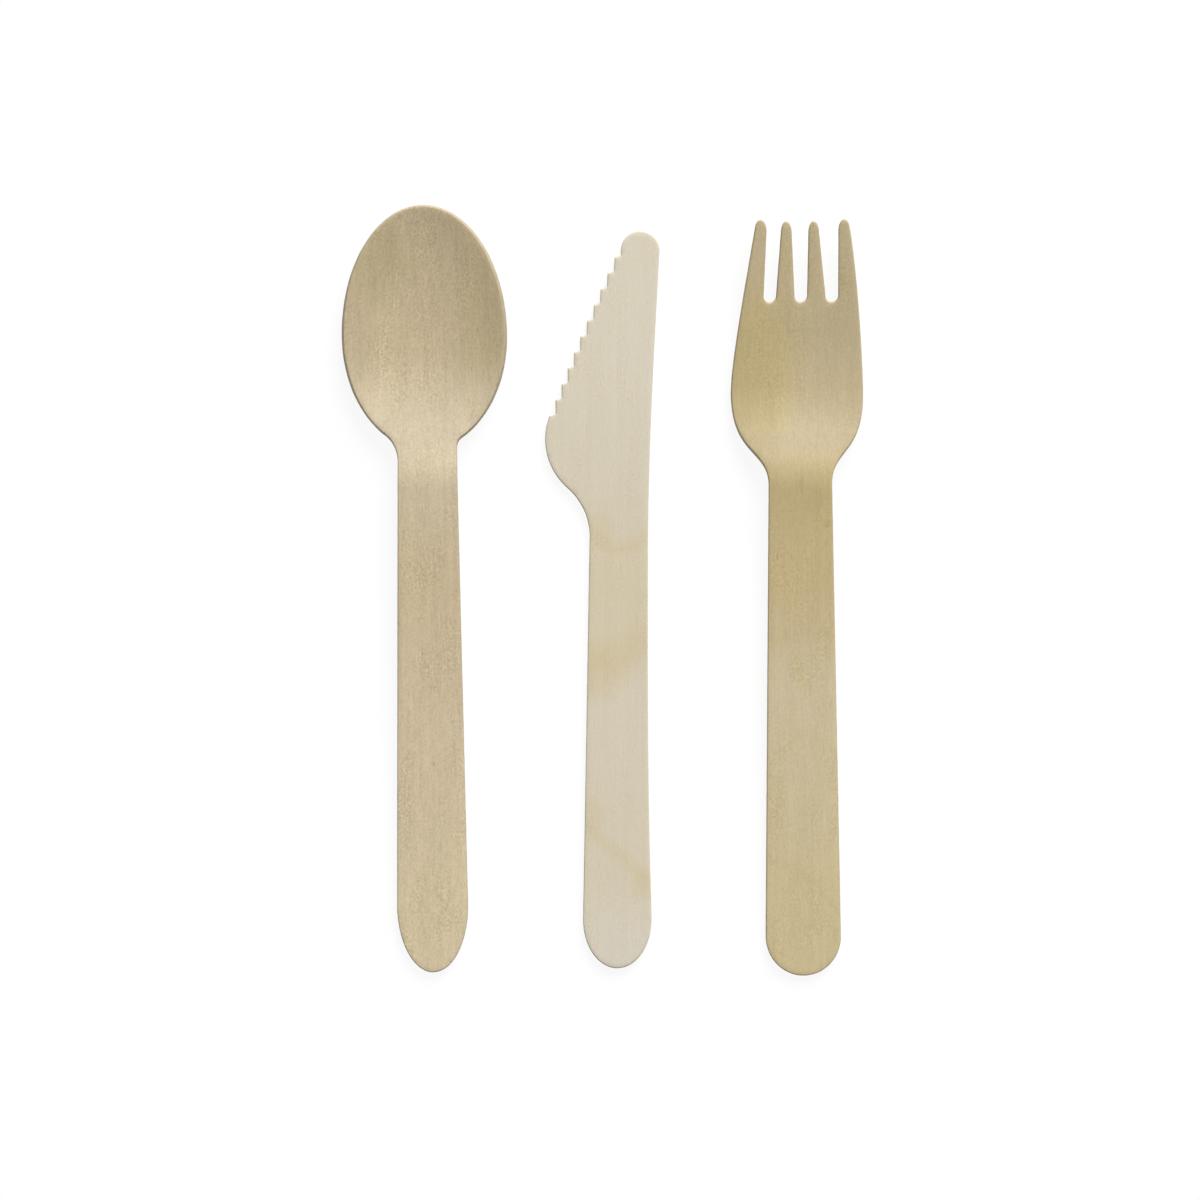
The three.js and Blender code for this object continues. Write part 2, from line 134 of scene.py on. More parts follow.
class NodeSketch:
    """Writes nodes into one tree, so that a formula in it reads as a formula."""

    GROUP_NODE: ClassVar[dict[TreeKind, str]] = {
        TreeKind.SHAPE: "GeometryNodeGroup",
        TreeKind.FINISH: "ShaderNodeGroup",
    }

    def __init__(self, tree: bpy.types.NodeTree) -> None:
        """Keeps the tree and its kind."""
        self.tree = tree
        self.kind = TreeKind(tree.bl_idname)

    @classmethod
    def group(cls, name: str, kind: TreeKind) -> "NodeSketch":
        """Starts an empty node group."""
        return cls(bpy.data.node_groups.new(name, kind.value))

    def node(self, kind: str, inputs: dict | None = None, **settings: object) -> bpy.types.Node:
        """Adds one node.

        Args:
            kind: The node's type name.
            inputs: Values or wires for its input sockets, by name or by index.
            settings: The node's own properties.

        Returns:
            The new node.
        """
        node = self.tree.nodes.new(kind)
        for key, value in settings.items():
            setattr(node, key, value)
        for key, value in (inputs or {}).items():
            self.feed(node.inputs[key], value)
        return node

    def feed(self, socket: bpy.types.NodeSocket, value: object) -> None:
        """Links a wire to an input socket, or sets the socket to a plain value.

        Args:
            socket: The input socket.
            value: The wire or the plain value.
        """
        if isinstance(value, Wire):
            self.tree.links.new(value.socket, socket)
        else:
            socket.default_value = value

    def out(self, node: bpy.types.Node, name: str | int = 0) -> Wire:
        """One output of a node."""
        return Wire(self, node.outputs[name])

    def math(self, operation: str, *values: Numeric) -> Wire:
        """Adds a Math node."""
        node = self.node("ShaderNodeMath", dict(enumerate(values)), operation=operation)
        return self.out(node)

    def vector(self, operation: str, *values: object) -> Wire:
        """Adds a Vector Math node with a vector result."""
        node = self.node("ShaderNodeVectorMath", dict(enumerate(values)), operation=operation)
        return self.out(node, "Vector")

    def scale(self, vector: Wire, factor: Numeric) -> Wire:
        """A vector or a colour times a number."""
        node = self.node("ShaderNodeVectorMath", {0: vector, "Scale": factor}, operation="SCALE")
        return self.out(node, "Vector")

    def combine(self, *parts: Numeric) -> Wire:
        """A vector from its three parts."""
        return self.out(self.node("ShaderNodeCombineXYZ", dict(enumerate(parts))))

    def separate(self, vector: Wire) -> tuple[Wire, Wire, Wire]:
        """The three parts of a vector."""
        node = self.node("ShaderNodeSeparateXYZ", {0: vector})
        return self.out(node, "X"), self.out(node, "Y"), self.out(node, "Z")

    def ease(self, value: Wire, start: Numeric, end: Numeric) -> Wire:
        """A smooth step from 0 to 1.

        Args:
            value: The value that it follows.
            start: The value at which it is 0.
            end: The value at which it is 1, below the start where the step goes down.

        Returns:
            The step.
        """
        inputs = {"Value": value, "From Min": start, "From Max": end}
        node = self.node("ShaderNodeMapRange", inputs, interpolation_type="SMOOTHSTEP")
        return self.out(node)

    def blend(self, factor: Numeric, first: object, second: object) -> Wire:
        """A mix of two colours.

        Args:
            factor: The share of the second colour.
            first: The first colour.
            second: The second colour.

        Returns:
            The mixed colour.
        """
        node = self.node("ShaderNodeMix", data_type="RGBA")
        sockets = {socket.identifier: socket for socket in node.inputs}
        self.feed(sockets["Factor_Float"], factor)
        self.feed(sockets["A_Color"], first)
        self.feed(sockets["B_Color"], second)
        result = next(s for s in node.outputs if s.identifier == "Result_Color")
        return Wire(self, result)

    def noise(self, place: Wire, detail: Numeric, roughness: float) -> Wire:
        """Smooth noise from -1 to 1 with cells about one unit wide."""
        inputs = {"Vector": place, "Scale": 1.0, "Detail": detail, "Roughness": roughness}
        return self.out(self.node("ShaderNodeTexNoise", inputs)) * 2.0 - 1.0

    def inputs(self, sockets: dict[str, str]) -> dict[str, Wire]:
        """Gives the group its inputs.

        Args:
            sockets: Each input's name and socket type.

        Returns:
            The inputs as wires, by name.
        """
        for name, kind in sockets.items():
            self.tree.interface.new_socket(name=name, in_out="INPUT", socket_type=kind)
        node = self.node("NodeGroupInput")
        return {name: self.out(node, name) for name in sockets}

    def outputs(self, results: dict[str, tuple[str, Wire]]) -> None:
        """Gives the group its outputs.

        Args:
            results: Each output's name, with its socket type and the wire that feeds it.
        """
        for name, (kind, _) in results.items():
            self.tree.interface.new_socket(name=name, in_out="OUTPUT", socket_type=kind)
        self.node("NodeGroupOutput", {name: wire for name, (_, wire) in results.items()})

    def use(self, group: bpy.types.NodeTree, inputs: dict[str, object]) -> Wire:
        """Places a finished group in this tree with its own values, and gives its first output."""
        return self.out(self.node(self.GROUP_NODE[self.kind], inputs, node_tree=group))


# Outlines


def at(x: float, y: float) -> Vector:
    """A point in a piece's plan."""
    return Vector((x, y))


def up(length: float) -> Vector:
    """A move towards the tip."""
    return at(0.0, length)


OUTLINE_STEP = 0.4 * MM


def bezier(*handles: Vector) -> list[Vector]:
    """Points along a straight line or a Bezier curve.

    Args:
        handles: Its two ends for a line, with one or two handles between them for a curve.

    Returns:
        Close-set points from the first end on, without the last end.
    """
    length = sum((b - a).length for a, b in zip(handles, handles[1:]))
    steps = max(1, math.ceil(length / OUTLINE_STEP))

    def point(share: float) -> Vector:
        """One point of the curve.

        Args:
            share: How far along the curve it lies, from 0 to 1.

        Returns:
            The point.
        """
        level = list(handles)
        while len(level) > 1:
            level = [a.lerp(b, share) for a, b in zip(level, level[1:])]
        return level[0]

    return [point(i / steps) for i in range(steps)]


def on_ellipse(centre: Vector, radii: tuple[float, float], angle: float) -> Vector:
    """The point of an ellipse at an angle."""
    return centre + at(radii[0] * math.cos(angle), radii[1] * math.sin(angle))


def arc(centre: Vector, radii: tuple[float, float], start: float, end: float) -> list[Vector]:
    """Points along a part of an ellipse.

    Args:
        centre: The ellipse's centre.
        radii: Its two half axes.
        start: The angle that the arc starts at.
        end: The angle that it ends at, below the start where it runs clockwise.

    Returns:
        Close-set points from the start on, without the end.
    """
    steps = max(1, math.ceil(abs(end - start) * max(radii) / OUTLINE_STEP))
    turn = (end - start) / steps
    return [on_ellipse(centre, radii, start + i * turn) for i in range(steps)]


# Veneer sheets


@dataclass(frozen=True)
class VeneerSheet:
    """The sheet that the pieces are cut from, its tumbled edge and the fineness of its mesh."""

    thickness: float = 1.6 * MM
    edge_radius: float = 0.3 * MM
    edge_steps: int = 3
    face_step: float = 0.8 * MM
    clear_share: float = 0.55
    ripple: float = 0.025 * MM
    ripple_length: float = 2.4 * MM
    nearness: float = 1e-9
    INSIDE_ONLY: ClassVar[int] = 1

    def levels(self) -> list[tuple[float, float, float]]:
        """The rings round the cut edge, from the lower face to the upper.

        Returns:
            Each ring's inset, height and share of cut edge.
        """
        lower = []
        for i in range(self.edge_steps + 1):
            angle = i / self.edge_steps * math.pi / 2
            inset = self.edge_radius * (1 - math.sin(angle))
            height = self.edge_radius * (1 - math.cos(angle)) - self.thickness / 2
            lower.append((inset, height, i / self.edge_steps))
        return lower + [(inset, -height, share) for inset, height, share in reversed(lower)]

    def inward(self, outline: np.ndarray) -> np.ndarray:
        """The move that takes each outline point inwards by one unit, square to its edges.

        Args:
            outline: The closed outline.

        Returns:
            One move for each point.
        """
        along = np.roll(outline, -1, axis=0) - outline
        along /= np.linalg.norm(along, axis=1, keepdims=True)
        after = np.stack([-along[:, 1], along[:, 0]], axis=1)
        before = np.roll(after, 1, axis=0)
        lengthening = 1 + np.sum(before * after, axis=1, keepdims=True)
        return (before + after) / lengthening

    def rippled(self, outline: np.ndarray) -> np.ndarray:
        """The outline with the slight unevenness of a cut across fibres."""
        wave = [noise.noise(Vector((x, y, 0.0)) / self.ripple_length) for x, y in outline]
        return outline + self.inward(outline) * self.ripple * np.array(wave)[:, None]

    def face_points(self, ring: np.ndarray) -> np.ndarray:
        """Evenly set points within a ring, clear of the ring itself.

        Args:
            ring: The closed outline of the face.

        Returns:
            The points, in staggered rows.
        """
        low, high = ring.min(axis=0), ring.max(axis=0)
        row_step = self.face_step * math.sqrt(3) / 2
        columns = np.arange(low[0], high[0], self.face_step)
        rows = np.arange(low[1], high[1], row_step)
        shift = np.where(np.arange(len(rows)) % 2, self.face_step / 2, 0.0)
        grid = np.stack(np.broadcast_arrays(columns + shift[:, None], rows[:, None]), axis=-1)
        points = grid.reshape(-1, 2)
        near = KDTree(len(ring))
        for i, (x, y) in enumerate(ring):
            near.insert((x, y, 0.0), i)
        near.balance()
        clear = self.clear_share * self.face_step
        kept = [p for p in points[inside(points, ring)] if near.find((*p, 0.0))[2] > clear]
        return np.array(kept)

    @staticmethod
    def neighbours(count: int) -> list[tuple[int, int]]:
        """The pairs of neighbouring points round a ring."""
        return [(i, (i + 1) % count) for i in range(count)]

    def face_triangles(self, ring: np.ndarray, middle: np.ndarray) -> list[list[int]]:
        """Fills a face with triangles.

        Args:
            ring: The closed outline of the face.
            middle: The points within it.

        Returns:
            The corners of each triangle, counted through the ring and then the middle.
        """
        flat = [Vector(point) for point in np.concatenate([ring, middle])]
        edges = self.neighbours(len(ring))
        filled = delaunay_2d_cdt(flat, edges, [], self.INSIDE_ONLY, self.nearness)
        _, _, triangles, origins, _, _ = filled
        return [[origins[i][0] for i in triangle] for triangle in triangles]

    def cut(self, name: str, plan: Sequence[Vector]) -> bpy.types.Object:
        """Cuts a flat blank, its middle plane on z = 0.

        Args:
            name: The name of the object.
            plan: The outline, counter-clockwise from above.

        Returns:
            A closed mesh object with the share of cut edge as a point attribute.
        """
        outline = self.rippled(np.array([tuple(point) for point in plan]))
        inward, levels, count = self.inward(outline), self.levels(), len(outline)
        rings = [outline + inward * inset for inset, _, _ in levels]
        middle = self.face_points(rings[0])

        layers = [(ring, height) for ring, (_, height, _) in zip(rings, levels)]
        layers += [(middle, levels[0][1]), (middle, levels[-1][1])]
        points = [np.hstack([flat, np.full((len(flat), 1), height)]) for flat, height in layers]
        shares = [np.full(count, share) for _, _, share in levels]
        share = np.concatenate([*shares, np.zeros(2 * len(middle))]).astype(np.float32)

        top = count * (len(levels) - 1)
        below = np.concatenate([np.arange(count), np.arange(len(middle)) + count * len(levels)])
        above = np.concatenate([np.arange(count) + top, below[count:] + len(middle)])
        triangles = self.face_triangles(rings[0], middle)
        polygons = [[int(below[i]) for i in reversed(corners)] for corners in triangles]
        polygons += [[int(above[i]) for i in corners] for corners in triangles]
        for low in range(0, top, count):
            high = low + count
            edges = self.neighbours(count)
            polygons += [[low + i, low + j, high + j, high + i] for i, j in edges]

        mesh = bpy.data.meshes.new(name)
        mesh.from_pydata(np.concatenate(points).tolist(), [], polygons)
        mesh.attributes.new(EDGE_ATTRIBUTE, "FLOAT", "POINT").data.foreach_set("value", share)
        mesh.update()
        blank = bpy.data.objects.new(name, mesh)
        bpy.context.scene.collection.objects.link(blank)
        return blank


def inside(points: np.ndarray, ring: np.ndarray) -> np.ndarray:
    """Which points lie within a closed ring.

    Args:
        points: The points to test.
        ring: The ring's corners in order.

    Returns:
        One truth value for each point.
    """
    result = np.zeros(len(points), dtype=bool)
    for (ax, ay), (bx, by) in zip(ring, np.roll(ring, -1, axis=0)):
        if ay == by:
            continue
        crosses = (points[:, 1] >= min(ay, by)) & (points[:, 1] < max(ay, by))
        meets = ax + (points[:, 1] - ay) / (by - ay) * (bx - ax)
        result ^= crosses & (points[:, 0] < meets)
    return result


# The press


@dataclass(frozen=True)
class PressForm:
    """The form that a sheet is pressed into. Each place is measured back from the tip.

    The default is a flat plate. The sheet goes down a ramp from its brink at the neck to its foot,
    rises to the tip, and is dished across. Each bend eases in over a length of its own.
    """

    length: float
    axis: float = 0.0
    brink_start: float = 0.0
    brink_ease: float = 1 * MM
    ramp_slope: float = 0.0
    foot_start: float = 0.0
    foot_ease: float = 1 * MM
    rise_start: float = 0.0
    rise_ease: float = 1 * MM
    tip_slope: float = 0.0
    dish_start: float = 0.0
    dish_ease: float = 1 * MM
    dish_depth: float = 0.0
    dish_width: float = 10 * MM


class Press:
    """Bends flat sheets into their forms with one node tree."""

    PROBE: ClassVar[float] = 0.02 * MM
    FLOAT: ClassVar[str] = "NodeSocketFloat"
    SIZES: ClassVar[list[str]] = socket_names(PressForm)

    def __init__(self) -> None:
        """Writes the tree."""
        self.tree = self.write_press(self.write_height())

    def write_height(self) -> bpy.types.NodeTree:
        """The group that gives the height of the pressed sheet's middle at a place in plan.

        Returns:
            The group, with the place and the form's sizes as inputs.
        """
        sketch = NodeSketch.group("press height", TreeKind.SHAPE)
        size = sketch.inputs(dict.fromkeys(["X", "Y", *self.SIZES], self.FLOAT))
        from_tip = size["Length"] - size["Y"]

        def bend(name: str) -> Wire:
            """Height along a slope of one in one that eases in from level.

            Args:
                name: The bend's name in the form.

            Returns:
                The height.
            """
            past = sketch.math("MAXIMUM", size[f"{name} Start"] - from_tip, 0.0)
            eased = sketch.math("MINIMUM", past, size[f"{name} Ease"])
            return eased * eased / (size[f"{name} Ease"] * 2.0) + past - eased

        ramp = size["Ramp Slope"] * (bend("Foot") - bend("Brink"))
        rise = size["Tip Slope"] * bend("Rise")
        dish = sketch.ease(size["Dish Start"] - from_tip, 0.0, size["Dish Ease"])
        across = (size["X"] - size["Axis"]) / (size["Dish Width"] * 0.5)
        height = ramp + rise + size["Dish Depth"] * dish * across * across
        sketch.outputs({"Height": (self.FLOAT, height)})
        return sketch.tree

    def write_press(self, height_group: bpy.types.NodeTree) -> bpy.types.NodeTree:
        """The tree that presses a flat sheet and keeps its thickness square to the surface.

        Args:
            height_group: The group that gives the height of the pressed sheet's middle.

        Returns:
            The tree, with the form's sizes and the wood as inputs.
        """
        sketch = NodeSketch.group("press", TreeKind.SHAPE)
        sockets = {"Sheet": "NodeSocketGeometry", "Wood": "NodeSocketMaterial"}
        given = sketch.inputs(sockets | dict.fromkeys(self.SIZES, self.FLOAT))
        x, y, z = sketch.separate(sketch.out(sketch.node("GeometryNodeInputPosition")))

        def height(place_x: Wire, place_y: Wire) -> Wire:
            """The height of the form at a place."""
            sizes = {name: given[name] for name in self.SIZES}
            return sketch.use(height_group, {"X": place_x, "Y": place_y, **sizes})

        middle = height(x, y)
        along_x = (middle - height(x + self.PROBE, y)) / self.PROBE
        along_y = (middle - height(x, y + self.PROBE)) / self.PROBE
        normal = sketch.vector("NORMALIZE", sketch.combine(along_x, along_y, 1.0))
        place = sketch.vector("ADD", sketch.combine(x, y, middle), sketch.scale(normal, z))
        pressed = {"Geometry": given["Sheet"], "Position": place}
        moved = sketch.node("GeometryNodeSetPosition", pressed)
        smooth = sketch.node("GeometryNodeSetShadeSmooth", {"Geometry": sketch.out(moved)})
        real = sketch.node("GeometryNodeRealizeInstances", {"Geometry": sketch.out(smooth)})
        wood = {"Geometry": sketch.out(real), "Material": given["Wood"]}
        finished = sketch.out(sketch.node("GeometryNodeSetMaterial", wood))
        sketch.outputs({"Piece": ("NodeSocketGeometry", finished)})
        return sketch.tree

    def shape(self, blank: bpy.types.Object, form: PressForm, wood: bpy.types.Material) -> None:
        """Presses a blank and leaves a plain mesh in its place.

        Args:
            blank: The flat sheet.
            form: The form that it is pressed into.
            wood: Its material.
        """
        modifier = blank.modifiers.new("press", "NODES")
        modifier.node_group = self.tree
        values = {"Wood": wood, **socket_values(form)}
        for item in self.tree.interface.items_tree:
            if item.in_out == "INPUT" and item.name in values:
                modifier[item.identifier] = values[item.name]
        depsgraph = bpy.context.evaluated_depsgraph_get()
        pressed = bpy.data.meshes.new_from_object(
            blank.evaluated_get(depsgraph), preserve_all_data_layers=True, depsgraph=depsgraph
        )
        blank.modifiers.clear()
        flat, blank.data = blank.data, pressed
        bpy.data.meshes.remove(flat)
        pressed.name = blank.name


# Wood


@dataclass(frozen=True)
class ToneStop:
    """The wood's tone at a place along a sheet, measured from the handle's end."""

    place: float
    tone: Colour


@dataclass(frozen=True)
class FibreLayer:
    """Fibres of one size: how wide and long their dashes are, and how finely they break up."""

    width: float
    length: float
    detail: float = 1.0


@dataclass(frozen=True)
class FigureBand:
    """A band of deeper tone across a sheet, where the peeling blade met the growth rings."""

    along: float
    half_width: float
    depth: float
    slant: float = 0.0
    bow: float = 0.0
    wave: float = 3 * MM
    wave_length: float = 9 * MM


@dataclass(frozen=True)
class Spot:
    """A soft oval on a sheet: its place from the handle's end, its half sizes and its depth.

    One with a depth below zero is lighter than the wood. As darkening, spots are flecks in the
    wood, and on the spoon's bowl also painted shade at its rims and a painted highlight at its
    heel.
    """

    x: float
    y: float
    half_width: float
    half_length: float
    depth: float


FIBRE = FibreLayer(0.4 * MM, 3 * MM, 2.0)
SPECKLE = FibreLayer(0.4 * MM, 0.56 * MM)
MOTTLE = FibreLayer(0.8 * MM, 2 * MM)
VEIN = FibreLayer(1.3 * MM, 45 * MM, 2.0)
PORE = FibreLayer(0.24 * MM, 1.1 * MM, 0.0)
PATCH = FibreLayer(6 * MM, 13 * MM, 2.0)


class VeneerEffects:
    """The effects that the three woods share, each a shader group that is written once."""

    FLOAT: ClassVar[str] = "NodeSocketFloat"
    VECTOR: ClassVar[str] = "NodeSocketVector"
    FIBRE_ROUGHNESS: ClassVar[float] = 0.55
    WAVE_ROUGHNESS: ClassVar[float] = 0.5
    WAVE_DETAIL: ClassVar[float] = 2.0
    BOW_REACH: ClassVar[float] = 7 * MM

    def __init__(self) -> None:
        """Writes the groups, each under the kind of effect that it makes."""
        self.groups: dict[type, bpy.types.NodeTree] = {
            FibreLayer: self.write_fibres(),
            FigureBand: self.write_band(),
            Spot: self.write_spot(),
        }

    def start(self, name: str, effect: type) -> tuple[NodeSketch, dict[str, Wire]]:
        """Starts a group for one kind of effect.

        Args:
            name: The group's name.
            effect: The dataclass that holds the effect's sizes.

        Returns:
            The group's sketch and its inputs: the place on the sheet and the sizes.
        """
        sketch = NodeSketch.group(name, TreeKind.FINISH)
        sizes = dict.fromkeys(socket_names(effect), self.FLOAT)
        return sketch, sketch.inputs({"Place": self.VECTOR} | sizes)

    def write_fibres(self) -> bpy.types.NodeTree:
        """The group for fine fibres, which run in dashes along the sheet.

        Returns:
            The group, with a value from -1 to 1 as its output.
        """
        sketch, given = self.start("veneer fibres", FibreLayer)
        cell = sketch.combine(given["Width"], given["Length"], given["Width"])
        place = sketch.vector("DIVIDE", given["Place"], cell)
        fibre = sketch.noise(place, given["Detail"], self.FIBRE_ROUGHNESS)
        sketch.outputs({"Fibre": (self.FLOAT, fibre)})
        return sketch.tree

    def write_band(self) -> bpy.types.NodeTree:
        """The group for one band of figure with a wavy edge.

        Returns:
            The group, with a mask of the band's depth as its output.
        """
        sketch, given = self.start("veneer band", FigureBand)
        x, y, _ = sketch.separate(given["Place"])
        cell = sketch.combine(*[given["Wave Length"]] * 3)
        place = sketch.vector("DIVIDE", given["Place"], cell)
        wave = sketch.noise(place, self.WAVE_DETAIL, self.WAVE_ROUGHNESS) * given["Wave"]
        bowed = sketch.math("MINIMUM", x * x, self.BOW_REACH**2) * given["Bow"]
        middle = given["Along"] + given["Slant"] * x + bowed + wave
        off = sketch.math("ABSOLUTE", y - middle) / given["Half Width"]
        mask = sketch.ease(off, 1.0, 0.0) * given["Depth"]
        sketch.outputs({"Mask": (self.FLOAT, mask)})
        return sketch.tree

    def write_spot(self) -> bpy.types.NodeTree:
        """The group for one spot, which fades out from its middle.

        Returns:
            The group, with a mask of the spot's depth as its output.
        """
        sketch, given = self.start("veneer spot", Spot)
        x, y, _ = sketch.separate(given["Place"])
        across = (x - given["X"]) / given["Half Width"]
        along = (y - given["Y"]) / given["Half Length"]
        mask = sketch.ease(across * across + along * along, 1.0, 0.0) * given["Depth"]
        sketch.outputs({"Mask": (self.FLOAT, mask)})
        return sketch.tree


@dataclass(frozen=True)
class SheetPattern:
    """The shared effects as they lie on one sheet, in its material's tree."""

    sketch: NodeSketch
    effects: VeneerEffects
    place: Wire

    def lay(self, effect: FibreLayer | FigureBand | Spot) -> Wire:
        """Lays one effect on the sheet, with its own sizes."""
        values = {"Place": self.place, **socket_values(effect)}
        return self.sketch.use(self.effects.groups[type(effect)], values)

    def tone(self, stops: Sequence[ToneStop]) -> Wire:
        """The wood's tone, which eases from stop to stop along the sheet.

        Args:
            stops: The tones and their places, from the head to the handle's end.

        Returns:
            The colour.
        """
        _, along, _ = self.sketch.separate(self.place)
        colour = opaque(stops[0].tone)
        for before, after in zip(stops, stops[1:]):
            share = self.sketch.ease(along, before.place, after.place)
            colour = self.sketch.blend(share, colour, opaque(after.tone))
        return colour


@dataclass(frozen=True)
class BirchFinish:
    """One sheet's wood: its tones from head to handle's end, its fibres, figure and cut edge, with
    painted shade and a painted highlight on the spoon's bowl.
    """

    slot: str
    tones: tuple[ToneStop, ...]
    figure_tone: Colour
    edge_tone: Colour
    bands: tuple[FigureBand, ...] = ()
    # Dark and light spots laid over the grain: flecks in the wood, and on the spoon painted shade
    # at the bowl's rims and a painted highlight at its heel.
    streaks: tuple[Spot, ...] = ()
    clouds: tuple[Spot, ...] = ()
    fibre_strength: float = 1.0
    fibre_depth: float = 0.06
    vein_depth: float = 0.06
    mottle_depth: float = 0.02
    pore_depth: float = 0.08
    pore_range: tuple[float, float] = (0.42, 0.64)
    speckle_depth: float = 0.13
    speckle_least: float = 0.6
    speckle_swing: float = 1.1
    patch_share: float = 0.5
    patch_range: tuple[float, float] = (-0.15, 0.45)
    shine: float = 0.3
    roughness: float = 0.56
    roughness_swing: float = 0.1
    relief: float = 0.05 * MM
    relief_strength: float = 0.25
    PLACE_NODE: ClassVar[str] = "sheet place"

    def make(self, effects: VeneerEffects) -> bpy.types.Material:
        """Makes the material.

        Args:
            effects: The shader groups that the woods share.

        Returns:
            The material, its pattern not yet centred on a piece.
        """
        material = bpy.data.materials.new(self.slot)
        material.use_nodes = True
        sketch = NodeSketch(material.node_tree)
        shader = material.node_tree.nodes["Principled BSDF"]
        source = sketch.out(sketch.node("ShaderNodeTexCoord"), "Object")
        mapping = sketch.node("ShaderNodeMapping", {"Vector": source}, vector_type="TEXTURE")
        mapping.name = self.PLACE_NODE
        pattern = SheetPattern(sketch, effects, sketch.out(mapping))

        fibre, vein = pattern.lay(FIBRE), pattern.lay(VEIN)
        pore = sketch.ease(pattern.lay(PORE), *self.pore_range)
        patch = sketch.ease(pattern.lay(PATCH), *self.patch_range)
        speckle = pattern.lay(SPECKLE) * (patch * self.speckle_swing + self.speckle_least)
        shade = fibre * self.fibre_depth + vein * self.vein_depth - pore * self.pore_depth
        shade = shade + speckle * self.speckle_depth + pattern.lay(MOTTLE) * self.mottle_depth
        shade = shade * self.fibre_strength + 1.0
        # Spots darken or lighten the wood: flecks, and on the spoon painted shade at the bowl's
        # rims and a painted highlight at its heel.
        for streak_and_painted_light in self.streaks:
            shade = shade - pattern.lay(streak_and_painted_light)

        colour = pattern.tone(self.tones)
        masks = [pattern.lay(shape) for shape in (*self.bands, *self.clouds)]
        for mask in (patch * self.patch_share, *masks):
            colour = sketch.blend(mask, colour, opaque(self.figure_tone))
        edge = sketch.node("ShaderNodeAttribute", attribute_name=EDGE_ATTRIBUTE)
        colour = sketch.blend(sketch.out(edge, "Fac"), colour, opaque(self.edge_tone))

        sketch.feed(shader.inputs["Base Color"], sketch.scale(colour, shade))
        sketch.feed(shader.inputs["Roughness"], fibre * -self.roughness_swing + self.roughness)
        shader.inputs["Specular IOR Level"].default_value = self.shine
        relief = {"Distance": self.relief, "Strength": self.relief_strength}
        bump = sketch.node("ShaderNodeBump", {"Height": fibre + vein - pore, **relief})
        sketch.feed(shader.inputs["Normal"], sketch.out(bump))
        return material

    def centre(self, material: bpy.types.Material, matrix: Matrix, lean: float) -> None:
        """Lays the pattern along a piece, from its handle's end.

        Args:
            material: The material.
            matrix: The move that placed the piece.
            lean: The piece's turn about the vertical, in radians.
        """
        mapping = material.node_tree.nodes[self.PLACE_NODE]
        mapping.inputs["Location"].default_value = matrix.translation
        mapping.inputs["Rotation"].default_value = (0.0, 0.0, lean)


# The three pieces


@dataclass
class VeneerPiece:
    """One piece of the set: a sheet that is cut, pressed, laid down and dressed."""

    node: str
    finish: BirchFinish
    lean_degrees: float
    length: float
    handle_width: float
    end_length: float
    FLATNESS: ClassVar[float] = 1e-7

    @property
    def name(self) -> str:
        """The name of the piece's object."""
        return f"{self.node}_sheet"

    def end_corner(self, side: Side) -> Vector:
        """Where the handle's rounded end meets one side."""
        return at(side.value * self.handle_width / 2, self.end_length)

    def handle_end(self) -> list[Vector]:
        """The rounded end of the handle, from its left side to its right."""
        radii = (self.handle_width / 2, self.end_length)
        return arc(up(self.end_length), radii, math.pi, 2 * math.pi)

    def outline(self) -> list[Vector]:
        """The outline in plan, counter-clockwise from the handle's left side."""
        raise NotImplementedError

    def form(self) -> PressForm:
        """The form that the sheet is pressed into."""
        return PressForm(length=self.length)

    def build(self, sheet: VeneerSheet, press: Press, effects: VeneerEffects) -> bpy.types.Object:
        """Makes the piece where its solid lies.

        Args:
            sheet: The sheet that it is cut from.
            press: The press.
            effects: The shader groups that the woods share.

        Returns:
            The finished object, at the origin with its place in its mesh.
        """
        piece = sheet.cut(self.name, self.outline())
        wood = self.finish.make(effects)
        press.shape(piece, self.form(), wood)
        matrix = self.lying(piece.data, sheet)
        piece.data.transform(matrix)
        piece.data.update()
        self.finish.centre(wood, matrix, math.radians(self.lean_degrees))
        return piece

    def lying(self, mesh: bpy.types.Mesh, sheet: VeneerSheet) -> Matrix:
        """The move that lays the piece at rest in the place of its solid.

        Args:
            mesh: The pressed mesh in its own plan.
            sheet: The sheet that it is cut from.

        Returns:
            The tilt on to the handle's end and the head, the lean, and the place.
        """
        points = np.empty(len(mesh.vertices) * 3, dtype=np.float32)
        mesh.vertices.foreach_get("co", points)
        points = points.reshape(-1, 3).astype(float)
        under = -sheet.thickness / 2
        end = points[points[:, 2] <= under + self.FLATNESS][:, 1].min()
        ahead = points[points[:, 1] > end]
        tilt = np.arctan2(under - ahead[:, 2], ahead[:, 1] - end).max()
        turn = Matrix.Rotation(math.radians(self.lean_degrees), 4, "Z")
        turn = turn @ Matrix.Rotation(float(tilt), 4, "X")
        turned = points @ np.array(turn.to_3x3()).T
        low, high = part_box(self.node)
        centre = (turned.min(axis=0) + turned.max(axis=0)) / 2
        shift = (low + high) / 2 - Vector(centre)
        shift.z = -turned[:, 2].min()
        return Matrix.Translation(shift) @ turn

    def dress(self, piece: bpy.types.Object) -> None:
        """Sets the piece in the frame in place of its solid.

        Args:
            piece: The finished object.
        """
        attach(piece, "root")
        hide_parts(self.node)


